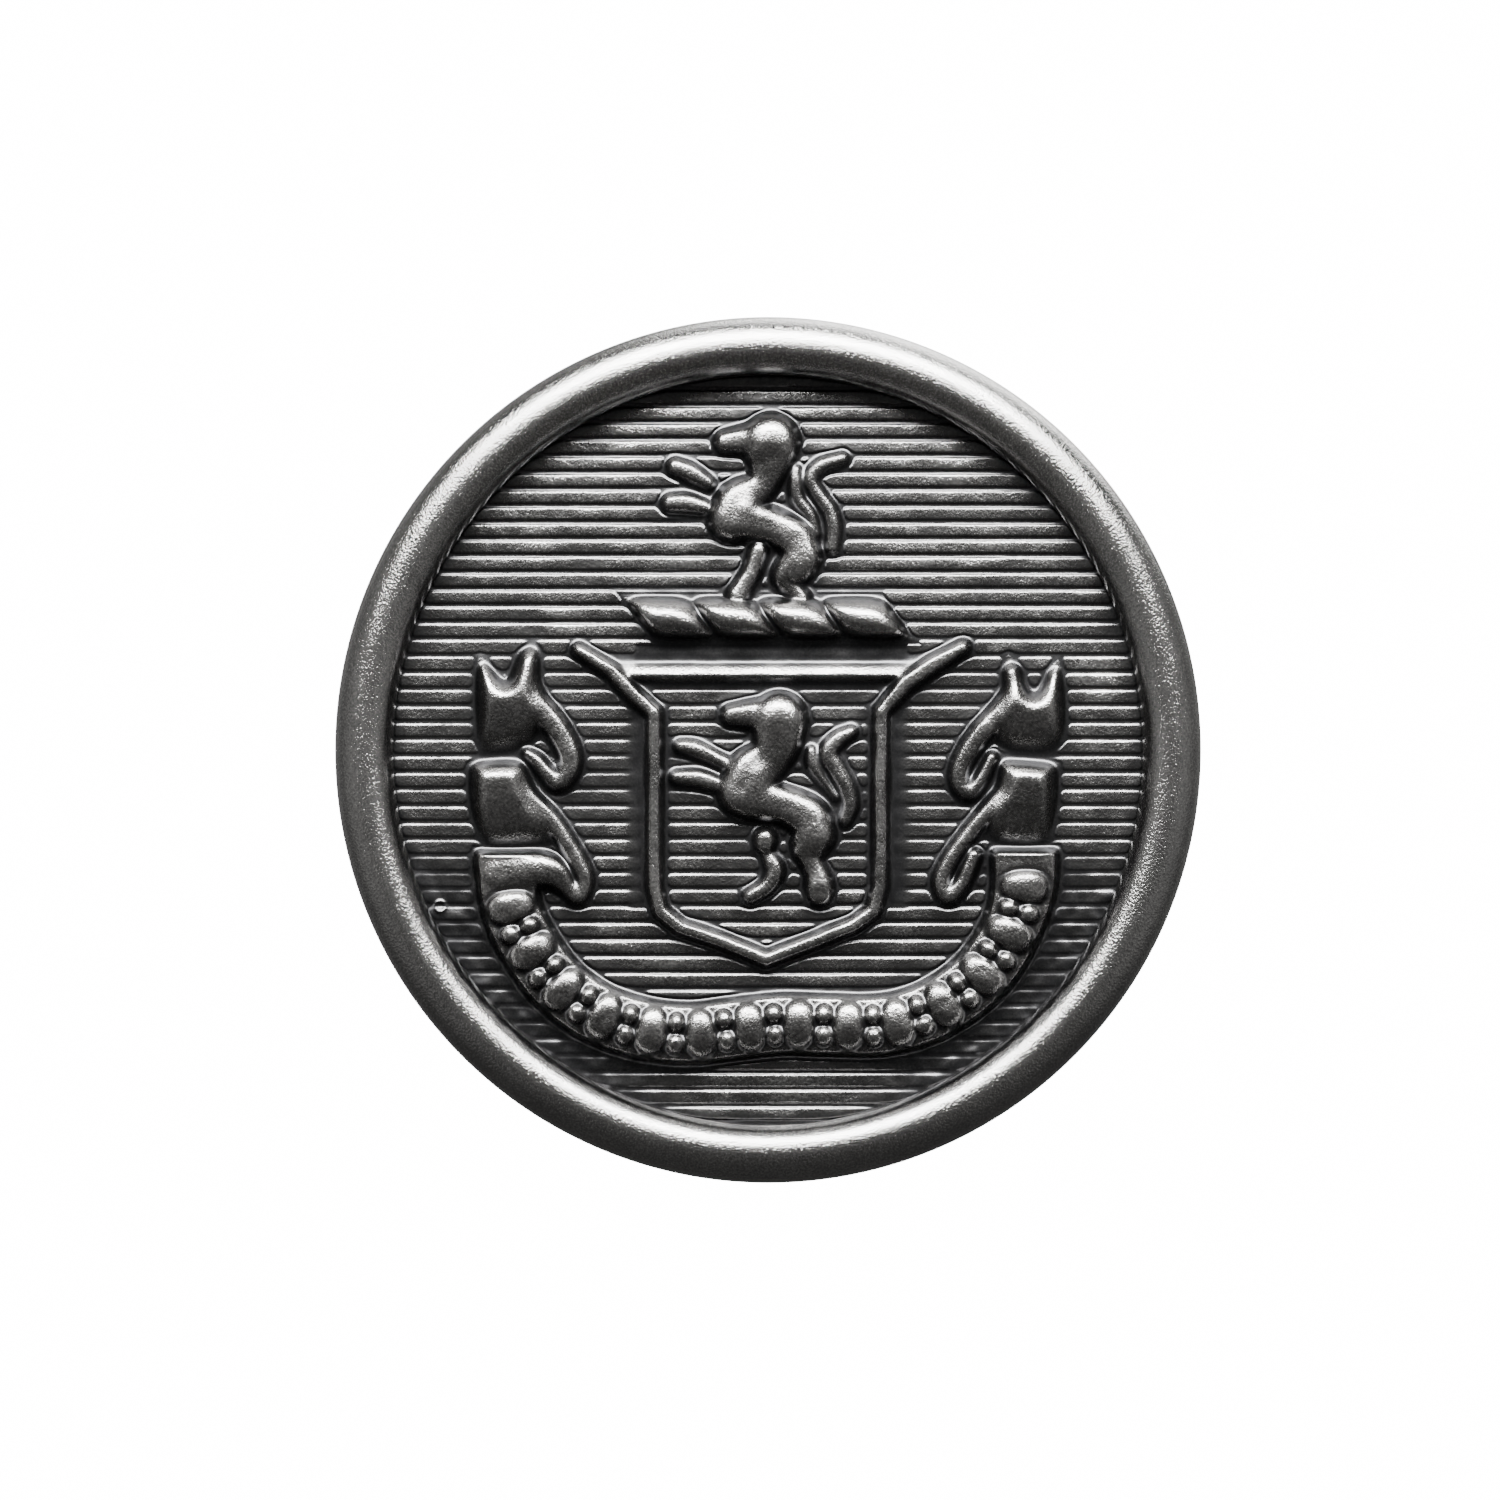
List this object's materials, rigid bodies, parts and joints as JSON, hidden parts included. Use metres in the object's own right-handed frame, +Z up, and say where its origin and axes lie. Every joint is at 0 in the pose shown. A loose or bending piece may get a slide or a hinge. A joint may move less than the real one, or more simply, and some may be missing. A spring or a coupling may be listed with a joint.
{
  "type": "crested badge",
  "caption": "Round crested badge with a struck shield-and-lion face in a rolled rim, a wire shank loop behind and a split pin that holds it to a cap or coat.",
  "frame": {"origin": "centre of the seat, the flat back that lies on the cloth, on the shank's axis", "axes": "+Z up the crest, -Y out of the face towards the viewer, +Y along the shank away from the face, +X to the viewer's right"},
  "size_m": [0.025, 0.0094, 0.025],
  "materials": {
    "struck_face": "antique silver plate, blackened in the recesses and rubbed bright on the relief",
    "rolled_rim": "antique silver plate, satin",
    "pressed_back": "antique silver plate, dull",
    "packing_board": "raw board",
    "boss": "antique silver plate",
    "washer": "raw brass",
    "shank_wire": "antique silver plate",
    "pin_wire": "drawn brass wire, slightly tarnished"
  },
  "bodies": {
    "badge": {"face_plate": "struck_face", "rim_ring": "rolled_rim", "packing_disc": "packing_board", "back_shell": "pressed_back", "shank_boss": "boss", "clinch_washer": "washer", "shank_loop": "shank_wire"},
    "keeper": {"split_pin": "pin_wire"}
  },
  "joints": [
    {"name": "keeper_pull", "type": "slide", "parent": "badge", "child": "keeper", "axis": [-1, 0, 0], "range_m": [0, 0.016]}
  ]
}
